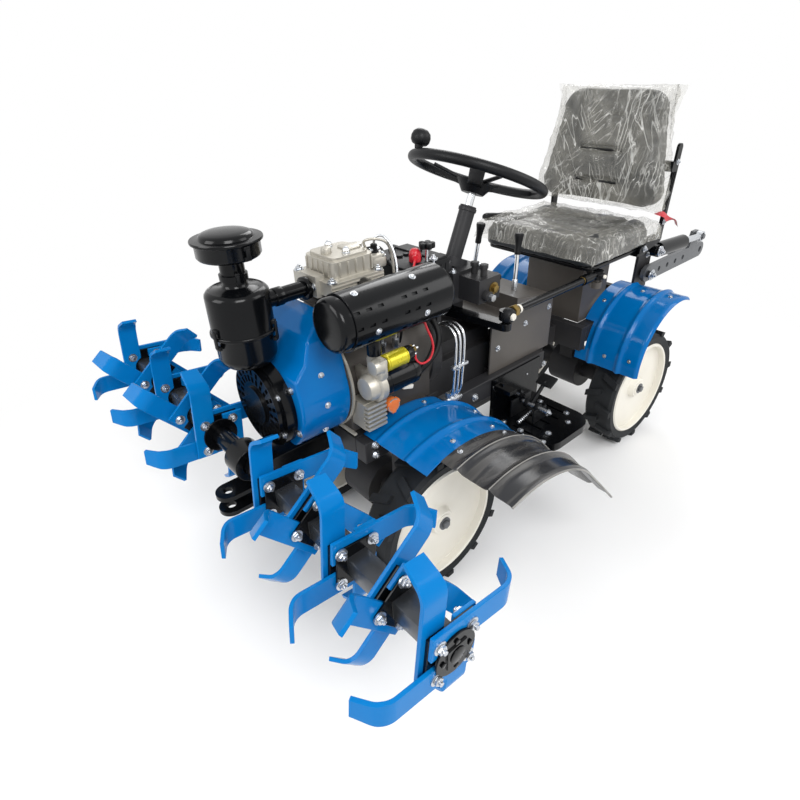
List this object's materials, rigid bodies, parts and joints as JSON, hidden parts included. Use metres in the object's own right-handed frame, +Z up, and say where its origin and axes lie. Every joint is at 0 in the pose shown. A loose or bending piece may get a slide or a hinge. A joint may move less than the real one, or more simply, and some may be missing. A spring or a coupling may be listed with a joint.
{
  "type": "ride-on articulated diesel tiller",
  "caption": "Ride-on tiller with an open diesel engine, front tine rotor, waist steering, padded seat and rear lift arms.",
  "frame": {"origin": "on the ground, in the middle of the overall length and width", "axes": "+X forward to the tine rotor, +Y to the driver's left, +Z up"},
  "size_m": [2.0833, 1.37, 1.1668],
  "materials": {
    "dark_frame": "satin",
    "bright_steel": "bright",
    "cast_alloy": "as cast",
    "blue_paint": "gloss",
    "black_paint": "gloss",
    "black_plastic": "fine grain",
    "grey_panel": "satin",
    "smoked_plastic": "gloss",
    "rim_white": "satin",
    "tyre_rubber": "matt",
    "seat_vinyl": "grained vinyl",
    "grey_steel": "satin"
  },
  "bodies": {
    "front_frame": {"front_rails": "dark_frame", "cross_members": "dark_frame", "waist_clevis": "dark_frame", "waist_pin": "bright_steel", "gearbox": "dark_frame", "front_axle": "dark_frame", "engine_block": "cast_alloy", "cylinder_head": "cast_alloy", "fan_shroud": "blue_paint", "recoil_starter": "black_paint", "air_cleaner": "black_paint", "muffler": "black_paint", "starter_motor": "black_paint", "oil_cooler": "cast_alloy", "battery": "black_plastic", "battery_tray": "dark_frame", "nose_beam": "black_paint", "front_clevis": "black_paint", "steering_box": "dark_frame", "tank_box": "grey_panel", "levers": "black_plastic", "footboards": "black_paint", "pedals": "black_paint", "front_fenders": "blue_paint", "fender_extensions": "smoked_plastic", "fender_stays_front": "dark_frame"},
    "rear_frame": {"waist_tongue": "dark_frame", "rear_rails": "dark_frame", "lift_mast": "dark_frame", "rear_axle": "dark_frame", "seat_pedestal": "grey_panel", "seat_pan": "black_paint", "seat_cushion": "seat_vinyl", "seat_backrest": "seat_vinyl", "seat_brackets": "black_paint", "rear_fenders": "blue_paint", "fender_stays_rear": "dark_frame"},
    "rotor": {"tine_shaft": "black_paint", "gang_tubes": "black_paint", "tines_left": "blue_paint", "tines_right": "blue_paint"},
    "steering_wheel": {"steering_wheel": "black_plastic"},
    "steer_arm": {"steer_arm": "black_paint"},
    "drag_link": {"drag_link": "black_paint"},
    "wheel_front_left": {"rim_front_left": "rim_white", "tyre_front_left": "tyre_rubber"},
    "wheel_front_right": {"rim_front_right": "rim_white", "tyre_front_right": "tyre_rubber"},
    "wheel_rear_left": {"rim_rear_left": "rim_white", "tyre_rear_left": "tyre_rubber"},
    "wheel_rear_right": {"rim_rear_right": "rim_white", "tyre_rear_right": "tyre_rubber"},
    "lift_arms": {"lift_arms": "grey_steel"},
    "lift_barrels": {"lift_barrels": "black_paint"},
    "lift_rods": {"lift_rods": "bright_steel"}
  },
  "joints": [
    {"name": "waist_turn", "type": "hinge", "parent": "front_frame", "child": "rear_frame", "pos_m": [-0.2136, 0, 0.44], "axis": [0, 0, 1], "range_deg": [-25, 25]},
    {"name": "steering_turn", "type": "hinge", "parent": "front_frame", "child": "steering_wheel", "pos_m": [0.1764, 0, 0.8], "axis": [-0.3907, 0, 0.9205], "range_deg": [-300, 300]},
    {"name": "steer_arm_turn", "type": "hinge", "parent": "front_frame", "child": "steer_arm", "pos_m": [0.2164, 0, 0.69], "axis": [0, 0, 1], "range_deg": [-25, 25]},
    {"name": "drag_link_turn", "type": "hinge", "parent": "steer_arm", "child": "drag_link", "pos_m": [0.1854, 0.2, 0.69], "axis": [0, 0, 1], "range_deg": [-25, 25]},
    {"name": "wheel_front_left_spin", "type": "hinge", "parent": "front_frame", "child": "wheel_front_left", "pos_m": [0.4864, 0.24, 0.216], "axis": [0, 1, 0], "continuous": true},
    {"name": "wheel_front_right_spin", "type": "hinge", "parent": "front_frame", "child": "wheel_front_right", "pos_m": [0.4864, -0.24, 0.216], "axis": [0, 1, 0], "continuous": true},
    {"name": "wheel_rear_left_spin", "type": "hinge", "parent": "rear_frame", "child": "wheel_rear_left", "pos_m": [-0.5206, 0.24, 0.216], "axis": [0, 1, 0], "continuous": true},
    {"name": "wheel_rear_right_spin", "type": "hinge", "parent": "rear_frame", "child": "wheel_rear_right", "pos_m": [-0.5206, -0.24, 0.216], "axis": [0, 1, 0], "continuous": true},
    {"name": "rotor_spin", "type": "hinge", "parent": "front_frame", "child": "rotor", "pos_m": [0.8664, 0, 0.476], "axis": [0, 1, 0], "continuous": true},
    {"name": "lift_turn", "type": "hinge", "parent": "rear_frame", "child": "lift_arms", "pos_m": [-0.6136, 0, 0.6], "axis": [0, 1, 0], "range_deg": [-35, 0]},
    {"name": "lift_barrel_turn", "type": "hinge", "parent": "rear_frame", "child": "lift_barrels", "pos_m": [-0.5986, 0, 0.69], "axis": [0, 1, 0], "range_deg": [-32, 0]},
    {"name": "lift_rod_slide", "type": "slide", "parent": "lift_barrels", "child": "lift_rods", "axis": [-0.998, 0, -0.0636], "range_m": [0, 0.05]}
  ],
  "couplings": [
    {"joint": "steering_turn", "follows": "waist_turn", "ratio": -12},
    {"joint": "steer_arm_turn", "follows": "waist_turn", "ratio": 1},
    {"joint": "drag_link_turn", "follows": "waist_turn", "ratio": -1},
    {"joint": "lift_barrel_turn", "follows": "lift_turn", "ratio": 0.8838},
    {"joint": "lift_rod_slide", "follows": "lift_turn", "m_per_rad": -0.07894}
  ]
}
